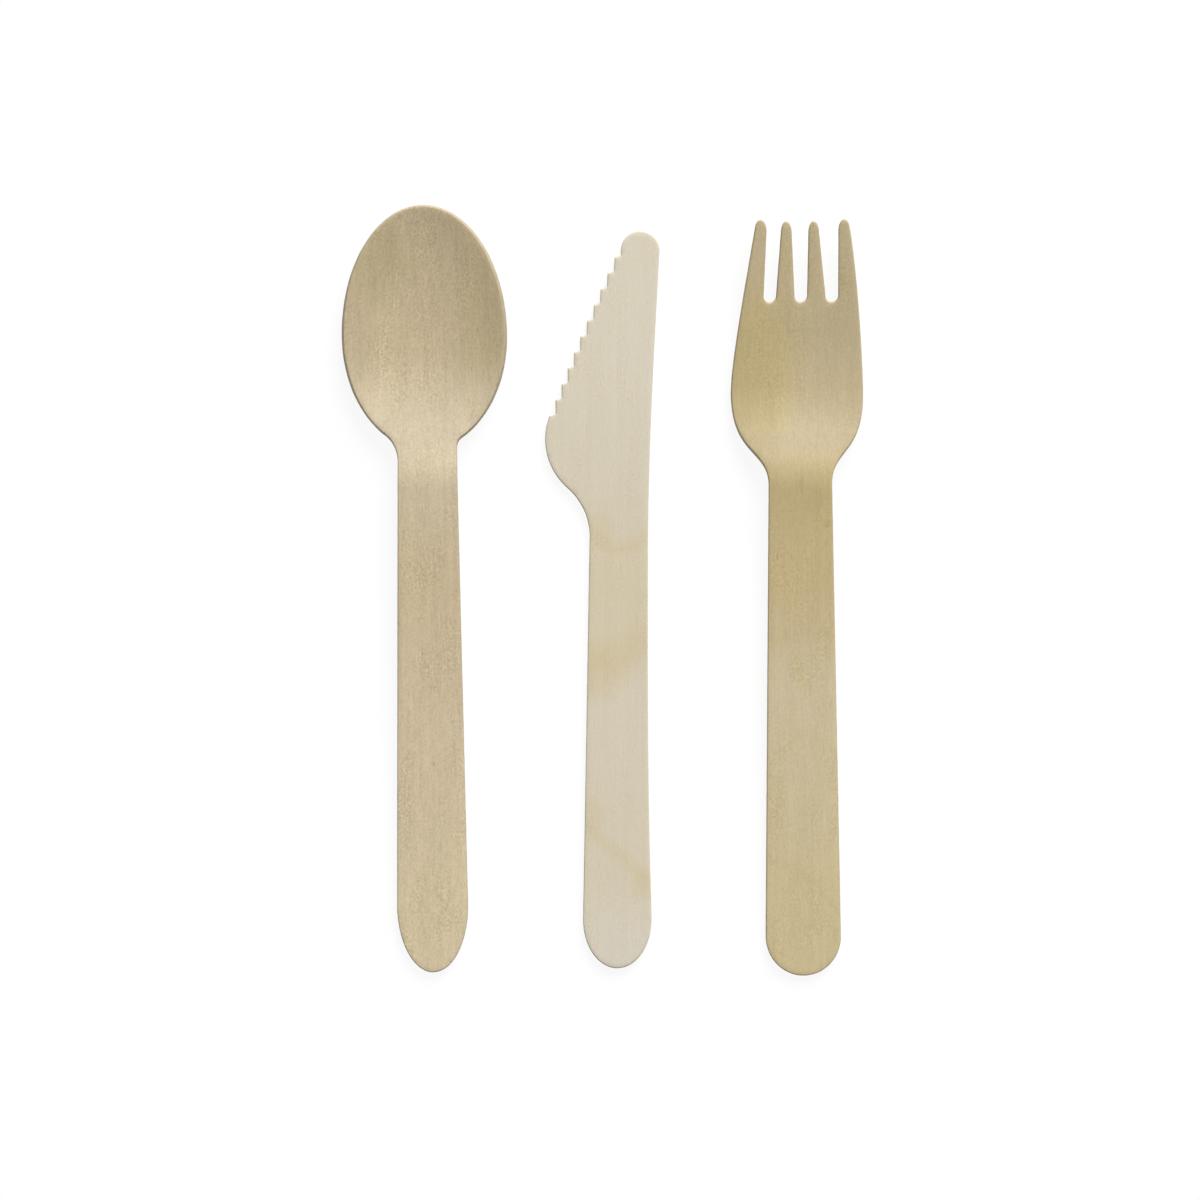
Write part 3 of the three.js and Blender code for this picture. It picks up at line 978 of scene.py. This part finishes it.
@dataclass
class Spoon(VeneerPiece):
    """The spoon: an oval bowl of two half ellipses on a straight, flaring handle."""

    length: float = 160 * MM
    handle_width: float = 14.8 * MM
    end_length: float = 14 * MM
    bowl_width: float = 34.2 * MM
    bowl_shift: float = -0.4 * MM
    nose_length: float = 27.1 * MM
    heel_length: float = 23.7 * MM
    neck_width: float = 12.3 * MM
    fillet_left: float = 4.5 * MM
    fillet_right: float = 1.6 * MM

    def fillet(self, side: Side) -> tuple[Vector, Vector, Vector, float]:
        """The fillet between the neck and the heel of the bowl.

        Args:
            side: The side of the neck.

        Returns:
            Its foot on the neck, its corner, its head on the heel, and the heel's angle there.
        """
        bowl, widest = self.bowl_width / 2, self.length - self.nose_length
        size = self.fillet_left if side is Side.LEFT else self.fillet_right
        neck = side.value * self.neck_width / 2
        reach = neck + side.value * size * math.sqrt(0.5)

        def dip(x: float) -> float:
            """The heel's angle below its widest line at a place across."""
            return math.acos(abs(x - self.bowl_shift) / bowl)

        corner = at(neck, widest - self.heel_length * math.sin(dip(neck)))
        angle = -dip(reach) if side is Side.RIGHT else math.pi + dip(reach)
        head = on_ellipse(at(self.bowl_shift, widest), (bowl, self.heel_length), angle)
        return corner - up(size), corner, head, angle

    def outline(self) -> list[Vector]:
        """The outline in plan.

        Returns:
            Close-set points, counter-clockwise from the handle's left side.
        """
        bowl, centre = self.bowl_width / 2, at(self.bowl_shift, self.length - self.nose_length)
        foot, corner, head, start = self.fillet(Side.RIGHT)
        left_foot, left_corner, left_head, end = self.fillet(Side.LEFT)
        return [
            *self.handle_end(),
            *bezier(self.end_corner(Side.RIGHT), foot),
            *bezier(foot, corner, head),
            *arc(centre, (bowl, self.heel_length), start, 0.0),
            *arc(centre, (bowl, self.nose_length), 0.0, math.pi),
            *arc(centre, (bowl, self.heel_length), math.pi, end),
            *bezier(left_head, left_corner, left_foot),
            *bezier(left_foot, self.end_corner(Side.LEFT)),
        ]

    def form(self) -> PressForm:
        """The form of the dished bowl.

        Returns:
            The sizes of its bends and its dish.
        """
        return PressForm(
            length=self.length,
            axis=self.bowl_shift,
            brink_start=59 * MM,
            brink_ease=6 * MM,
            ramp_slope=0.29,
            foot_start=46.1 * MM,
            foot_ease=15.5 * MM,
            rise_start=30.6 * MM,
            rise_ease=30 * MM,
            tip_slope=0.18,
            dish_start=56 * MM,
            dish_ease=18 * MM,
            dish_depth=2.7 * MM,
            dish_width=self.bowl_width,
        )


@dataclass
class Knife(VeneerPiece):
    """The knife: a round tip, a saw edge, a round belly, a hollow heel and a flaring handle."""

    length: float = 154.1 * MM
    handle_width: float = 14.3 * MM
    end_length: float = 10.2 * MM
    tip_radius: float = 4.03 * MM
    tip_offset: float = 4.2 * MM
    tip_plain: float = 1.1 * MM
    belly_from_tip: float = 43.5 * MM
    belly_offset: float = 15.5 * MM
    belly_radius: float = 13.6 * MM
    belly_plain: float = 4.8 * MM
    heel_radius: float = 13.4 * MM
    tooth_count: int = 11
    tooth_depth: float = 1.3 * MM
    tooth_slant: float = 0.4 * MM
    edge_bulge: float = 0.35 * MM
    waist_from_tip: float = 65.8 * MM
    spine_ease: float = 21 * MM
    neck_width: float = 12.2 * MM
    handle_flare: float = 8 * MM

    def saw_edge(self, start: Vector, end: Vector) -> list[Vector]:
        """The teeth, from the tip to the belly, on a line that bulges a little.

        Args:
            start: The end of the round tip.
            end: The first point of the belly.

        Returns:
            Points along the teeth.
        """
        first = start - at(self.tooth_depth, self.tip_plain + self.tooth_slant)
        corners = [start]
        for i in range(self.tooth_count):
            share = i / (self.tooth_count - 1)
            point = first.lerp(end, share) - at(self.edge_bulge * math.sin(math.pi * share), 0.0)
            corners += [point + at(self.tooth_depth, self.tooth_slant), point]
        return [p for a, b in zip(corners, corners[1:]) for p in bezier(a, b)]

    def outline(self) -> list[Vector]:
        """The outline in plan.

        Returns:
            Close-set points, counter-clockwise from the handle's left side.
        """
        neck, waist = self.neck_width / 2, self.length - self.waist_from_tip
        belly = at(self.belly_radius - self.belly_offset, self.length - self.belly_from_tip)
        belly_radii, heel_radii = (self.belly_radius,) * 2, (self.heel_radius,) * 2
        tip, tip_radii = at(self.tip_offset, self.length - self.tip_radius), (self.tip_radius,) * 2
        reach, heel_x = self.belly_radius + self.heel_radius, -neck - self.heel_radius
        turn = math.acos((belly.x - heel_x) / reach)
        heel = at(heel_x, belly.y - reach * math.sin(turn))
        plain = math.asin(self.belly_plain / self.belly_radius)
        end = self.end_corner(Side.RIGHT)
        tip_right, tip_left = (on_ellipse(tip, tip_radii, angle) for angle in (0.0, math.pi))
        belly_start = on_ellipse(belly, belly_radii, math.pi - plain)
        spine_top = at((neck + tip_right.x) / 2, tip_right.y - self.spine_ease)
        flare_top = at(neck, end.y + 2 * self.handle_flare)
        waist_right = at(neck, waist)
        return [
            *self.handle_end(),
            *bezier(end, end + up(self.handle_flare), flare_top, waist_right),
            *bezier(waist_right, waist_right + up(self.spine_ease), spine_top, tip_right),
            *arc(tip, tip_radii, 0.0, math.pi),
            *self.saw_edge(tip_left, belly_start),
            *arc(belly, belly_radii, math.pi - plain, math.pi + turn),
            *arc(heel, heel_radii, turn, 0.0),
            *bezier(at(-neck, heel.y), self.end_corner(Side.LEFT)),
        ]


@dataclass
class Fork(VeneerPiece):
    """The fork: a straight, flaring handle, rounded shoulders and tapering tines."""

    length: float = 157.7 * MM
    handle_width: float = 15.7 * MM
    end_length: float = 8.2 * MM
    tine_count: int = 4
    tine_length: float = 17.1 * MM
    tip_length: float = 2.3 * MM
    inner_width: float = 2.2 * MM
    inner_pitch: float = 5.72 * MM
    inner_shift: float = 0.31 * MM
    inner_setback: float = 0.35 * MM
    outer_width: float = 2.4 * MM
    outer_spread: float = 17.4 * MM
    outer_shift: float = 0.8 * MM
    outer_slant_degrees: float = 18.0
    slot_pitch: float = 6.47 * MM
    slot_shift: float = 0.45 * MM
    slot_radius: float = 1.33 * MM
    head_width: float = 27.6 * MM
    head_shift: float = -0.42 * MM
    head_from_tip: float = 36 * MM
    head_ease: float = 6.3 * MM
    tine_ease: float = 10 * MM
    shoulder_ease: float = 13 * MM
    neck_from_tip: float = 55.2 * MM
    neck_ease: float = 7.5 * MM
    neck_width: float = 13.2 * MM

    def tine(self, index: int) -> tuple[Vector, tuple[float, float]]:
        """The rounded tip of one tine.

        Args:
            index: The tine, counted from the left.

        Returns:
            The centre and half axes of the tip.
        """
        from_middle = index - (self.tine_count - 1) / 2
        top = self.length - self.tip_length
        if 0 < index < self.tine_count - 1:
            across = self.inner_shift + from_middle * self.inner_pitch
            return at(across, top - self.inner_setback), (self.inner_width / 2, self.tip_length)
        across = self.outer_shift + math.copysign(self.outer_spread / 2, from_middle)
        return at(across, top), (self.outer_width / 2, self.tip_length)

    def flank_angle(self, side: Side) -> float:
        """The angle on an outer tine's tip at which the flank of the head meets it."""
        slant = math.radians(self.outer_slant_degrees)
        return slant if side is Side.RIGHT else math.pi - slant

    def slot(self, index: int) -> Vector:
        """The centre of the round end of the slot to the left of a tine."""
        across = self.slot_shift + (index - self.tine_count / 2) * self.slot_pitch
        return at(across, self.length - self.tine_length + self.slot_radius)

    def tines(self) -> list[Vector]:
        """The tines and the slots between them.

        Returns:
            Points from the right outer tine to the left one.
        """
        points = []
        start = self.flank_angle(Side.RIGHT)
        for index in reversed(range(self.tine_count)):
            tip, radii = self.tine(index)
            if index == 0:
                return points + arc(tip, radii, start, self.flank_angle(Side.LEFT))
            slot, reach = self.slot(index), at(self.slot_radius, 0.0)
            beside, beside_radii = self.tine(index - 1)
            points += arc(tip, radii, start, math.pi)
            points += bezier(tip - at(radii[0], 0.0), slot + reach)
            points += arc(slot, (self.slot_radius,) * 2, 0.0, -math.pi)
            points += bezier(slot - reach, beside + at(beside_radii[0], 0.0))
            start = 0.0
        return points

    def head_side(self, side: Side) -> tuple[list[Vector], list[Vector]]:
        """The handles of the shoulder's and the flank's curves on one side of the head.

        Args:
            side: The side of the head.

        Returns:
            Four handles for the shoulder and four for the flank, from the neck upwards.
        """
        tip, radii = self.tine(self.tine_count - 1 if side is Side.RIGHT else 0)
        angle = self.flank_angle(side)
        edge = on_ellipse(tip, radii, angle)
        tipwards = at(-radii[0] * math.sin(angle), radii[1] * math.cos(angle)) * side.value
        neck = at(side.value * self.neck_width / 2, self.length - self.neck_from_tip)
        across = self.head_shift + side.value * self.head_width / 2
        widest = at(across, self.length - self.head_from_tip)
        along = tipwards.normalized() * self.tine_ease
        shoulder = [neck, neck + up(self.neck_ease), widest - up(self.shoulder_ease), widest]
        return shoulder, [widest, widest + up(self.head_ease), edge - along, edge]

    def outline(self) -> list[Vector]:
        """The outline in plan.

        Returns:
            Close-set points, counter-clockwise from the handle's left side.
        """
        shoulder, flank = self.head_side(Side.RIGHT)
        left_shoulder, left_flank = self.head_side(Side.LEFT)
        return [
            *self.handle_end(),
            *bezier(self.end_corner(Side.RIGHT), shoulder[0]),
            *bezier(*shoulder),
            *bezier(*flank),
            *self.tines(),
            *bezier(*reversed(left_flank)),
            *bezier(*reversed(left_shoulder)),
            *bezier(left_shoulder[0], self.end_corner(Side.LEFT)),
        ]

    def form(self) -> PressForm:
        """The form of the dropped head and the rising tines.

        Returns:
            The sizes of its bends and its dish.
        """
        return PressForm(
            length=self.length,
            axis=self.head_shift,
            brink_start=55.9 * MM,
            brink_ease=6.3 * MM,
            ramp_slope=0.27,
            foot_start=43.6 * MM,
            foot_ease=9 * MM,
            rise_start=34.4 * MM,
            rise_ease=11.5 * MM,
            tip_slope=0.1,
            dish_start=52 * MM,
            dish_ease=16 * MM,
            dish_depth=0.6 * MM,
            dish_width=self.head_width,
        )


# Studio


@dataclass(frozen=True)
class Studio:
    """A white floor, one large soft lamp, an even fill from all round, and the camera above."""

    floor_size: float = 6.0
    lamp_turn_degrees: float = 20.0
    lamp_rise_degrees: float = 32.0
    lamp_distance: float = 5.0
    lamp_size: float = 3.0
    lamp_share: float = 0.75
    fill_share: float = 0.25
    floor_bounce: float = 0.8
    floor_glow: float = 0.912
    floor_shade: float = 0.1
    lens: float = 120.0
    view_width: float = 250.3 * MM
    view_centre: tuple[float, float] = (-0.57 * MM, -1.88 * MM)
    view_height: float = 3 * MM

    def build(self) -> None:
        """Sets up the floor, the light and the camera."""
        bpy.context.scene.view_settings.view_transform = "Standard"
        self.lay_floor()
        self.light()
        self.aim()

    def seen(self, sketch: NodeSketch) -> Wire:
        """Whether a ray comes from the camera, a reflection or a refraction.

        Args:
            sketch: The tree of the material or the world.

        Returns:
            1 where it does, and 0 elsewhere.
        """
        path = sketch.node("ShaderNodeLightPath")
        straight = sketch.out(path, "Is Camera Ray")
        for name in ("Is Glossy Ray", "Is Transmission Ray"):
            straight = sketch.math("MAXIMUM", straight, sketch.out(path, name))
        return straight

    def lay_floor(self) -> None:
        """A white floor that still takes a pale shadow."""
        half = self.floor_size / 2
        mesh = bpy.data.meshes.new("floor")
        corners = [(-half, -half, 0), (half, -half, 0), (half, half, 0), (-half, half, 0)]
        mesh.from_pydata(corners, [], [(0, 1, 2, 3)])
        floor = bpy.data.objects.new("floor", mesh)
        bpy.context.scene.collection.objects.link(floor)
        material = bpy.data.materials.new("floor_white")
        material.use_nodes = True
        material.node_tree.nodes.clear()
        sketch = NodeSketch(material.node_tree)
        bounce = sketch.node("ShaderNodeBsdfDiffuse", {"Color": grey(self.floor_bounce)})
        shade = sketch.node("ShaderNodeBsdfDiffuse", {"Color": grey(self.floor_shade)})
        glow = sketch.node("ShaderNodeEmission", {"Strength": self.floor_glow})
        white = sketch.node("ShaderNodeAddShader", {0: sketch.out(shade), 1: sketch.out(glow)})
        mixed = {0: self.seen(sketch), 1: sketch.out(bounce), 2: sketch.out(white)}
        surface = sketch.out(sketch.node("ShaderNodeMixShader", mixed))
        sketch.node("ShaderNodeOutputMaterial", {"Surface": surface})
        mesh.materials.append(material)

    def light(self) -> None:
        """One soft lamp beyond the tips and an even fill, together at a plain level."""
        rise, turn = math.radians(self.lamp_rise_degrees), math.radians(self.lamp_turn_degrees)
        level = math.cos(rise)
        towards = Vector((math.sin(turn) * level, math.cos(turn) * level, math.sin(rise)))
        data = bpy.data.lights.new("soft_lamp", "AREA")
        data.shape = "DISK"
        data.size = self.lamp_size
        data.energy = self.lamp_share * (math.pi * self.lamp_distance) ** 2 / math.sin(rise)
        lamp = bpy.data.objects.new("soft_lamp", data)
        lamp.location = towards * self.lamp_distance
        lamp.rotation_euler = towards.to_track_quat("Z", "Y").to_euler()
        bpy.context.scene.collection.objects.link(lamp)
        world = bpy.data.worlds.new("studio_fill")
        world.use_nodes = True
        sketch = NodeSketch(world.node_tree)
        strength = self.seen(sketch) * (1.0 - self.fill_share) + self.fill_share
        background = world.node_tree.nodes["Background"]
        background.inputs["Color"].default_value = grey(1.0)
        sketch.feed(background.inputs["Strength"], strength)
        bpy.context.scene.world = world

    def aim(self) -> None:
        """A long lens that looks straight down, with the tips at the top of the picture."""
        data = bpy.data.cameras.new("camera")
        data.lens = self.lens
        camera = bpy.data.objects.new("camera", data)
        distance = self.view_width * self.lens / data.sensor_width
        camera.location = (*self.view_centre, self.view_height + distance)
        bpy.context.scene.collection.objects.link(camera)
        bpy.context.scene.camera = camera


SPOON_BIRCH = BirchFinish(
    slot="spoon_birch",
    tones=(
        ToneStop(135 * MM, (0.572, 0.461, 0.296)),
        ToneStop(112 * MM, (0.564, 0.476, 0.333)),
        ToneStop(100 * MM, (0.628, 0.52, 0.352)),
        ToneStop(82 * MM, (0.6, 0.485, 0.312)),
        ToneStop(45 * MM, (0.655, 0.534, 0.36)),
        ToneStop(10 * MM, (0.685, 0.572, 0.373)),
    ),
    figure_tone=(0.54, 0.45, 0.265),
    edge_tone=(0.47, 0.385, 0.25),
    fibre_strength=1.9,
    patch_share=0.25,
    streaks=(
        Spot(6.5 * MM, 150 * MM, 0.35 * MM, 9 * MM, 0.07),
        Spot(8.6 * MM, 147 * MM, 0.3 * MM, 7 * MM, 0.06),
        # Painted shade: darker over the bowl's left rim, its upper left and its right rim.
        Spot(-16 * MM, 132 * MM, 8 * MM, 20 * MM, 0.08),
        Spot(-10 * MM, 149 * MM, 7 * MM, 11 * MM, 0.07),
        Spot(15 * MM, 131 * MM, 5 * MM, 20 * MM, 0.05),
        Spot(6.5 * MM, 92 * MM, 6 * MM, 18 * MM, 0.035),
        # Painted highlight: lighter on both sides of the bowl's heel.
        Spot(10 * MM, 117 * MM, 6 * MM, 8 * MM, -0.08),
        Spot(-13 * MM, 117 * MM, 5 * MM, 8 * MM, -0.1),
    ),
    clouds=(
        Spot(-9.5 * MM, 149 * MM, 8 * MM, 13 * MM, 0.8),
        Spot(12 * MM, 138 * MM, 7 * MM, 18 * MM, 0.8),
    ),
)
KNIFE_BIRCH = BirchFinish(
    slot="knife_birch",
    tones=(
        ToneStop(126 * MM, (0.701, 0.636, 0.507)),
        ToneStop(108 * MM, (0.686, 0.619, 0.489)),
        ToneStop(78 * MM, (0.665, 0.58, 0.416)),
        ToneStop(52 * MM, (0.687, 0.615, 0.484)),
        ToneStop(22 * MM, (0.687, 0.612, 0.463)),
        ToneStop(6 * MM, (0.701, 0.638, 0.52)),
    ),
    figure_tone=(0.635, 0.525, 0.32),
    edge_tone=(0.66, 0.59, 0.46),
    fibre_strength=0.68,
    patch_share=0.14,
    bands=(
        FigureBand(87.2 * MM, 3.2 * MM, 0.42, slant=-0.15, bow=125.0, wave=4 * MM),
        FigureBand(65 * MM, 7 * MM, 0.55, slant=0.45),
        FigureBand(24 * MM, 3.2 * MM, 0.38, slant=-0.85),
    ),
    clouds=(
        Spot(-4 * MM, 91.5 * MM, 4 * MM, 5 * MM, 0.3),
        Spot(-4.5 * MM, 62.5 * MM, 8 * MM, 9 * MM, 0.42),
        Spot(-6.3 * MM, 31.5 * MM, 4.2 * MM, 5.5 * MM, 0.38),
        Spot(6.2 * MM, 17.6 * MM, 4.6 * MM, 5 * MM, 0.38),
    ),
)
FORK_BIRCH = BirchFinish(
    slot="fork_birch",
    tones=(
        ToneStop(126 * MM, (0.559, 0.458, 0.28)),
        ToneStop(114 * MM, (0.525, 0.435, 0.272)),
        ToneStop(101 * MM, (0.504, 0.402, 0.204)),
        ToneStop(86 * MM, (0.544, 0.428, 0.231)),
        ToneStop(58 * MM, (0.625, 0.525, 0.342)),
        ToneStop(6 * MM, (0.624, 0.517, 0.298)),
    ),
    figure_tone=(0.55, 0.437, 0.215),
    edge_tone=(0.47, 0.38, 0.215),
    fibre_strength=1.2,
    patch_share=0.3,
    bands=(
        FigureBand(72 * MM, 4 * MM, 0.3, slant=0.15),
        FigureBand(50 * MM, 2 * MM, 0.2, slant=0.2, bow=-110.0),
        FigureBand(21.5 * MM, 1.6 * MM, 0.28, slant=-0.7, bow=-60.0),
    ),
    streaks=(
        Spot(0.3 * MM, 102.6 * MM, 0.7 * MM, 2.4 * MM, 0.1),
        Spot(5.4 * MM, 94.2 * MM, 1 * MM, 0.9 * MM, 0.1),
        Spot(5.3 * MM, 90.2 * MM, 0.35 * MM, 0.8 * MM, 0.12),
        Spot(-4.9 * MM, 87.6 * MM, 0.35 * MM, 0.9 * MM, 0.12),
        Spot(2.7 * MM, 98.8 * MM, 2.6 * MM, 5 * MM, 0.035),
        # A broad darkening over the lower left of the head.
        Spot(-12 * MM, 116 * MM, 9 * MM, 24 * MM, 0.09),
    ),
    clouds=(Spot(-9 * MM, 128 * MM, 11 * MM, 22 * MM, 0.85),),
)


def main() -> None:
    """Builds the pieces in order, dresses them, and sets up the studio."""
    logging.basicConfig(level=logging.INFO, format="%(message)s")
    sheet, press, effects = VeneerSheet(), Press(), VeneerEffects()
    set_of_three = [
        Spoon("spoon", SPOON_BIRCH, lean_degrees=0.6),
        Knife("knife", KNIFE_BIRCH, lean_degrees=-0.24),
        Fork("fork", FORK_BIRCH, lean_degrees=0.45),
    ]
    for item in set_of_three:
        piece = item.build(sheet, press, effects)
        item.dress(piece)
        LOG.info("%s: %d faces", piece.name, len(piece.data.polygons))
    Studio().build()


if __name__ == "__main__":
    main()
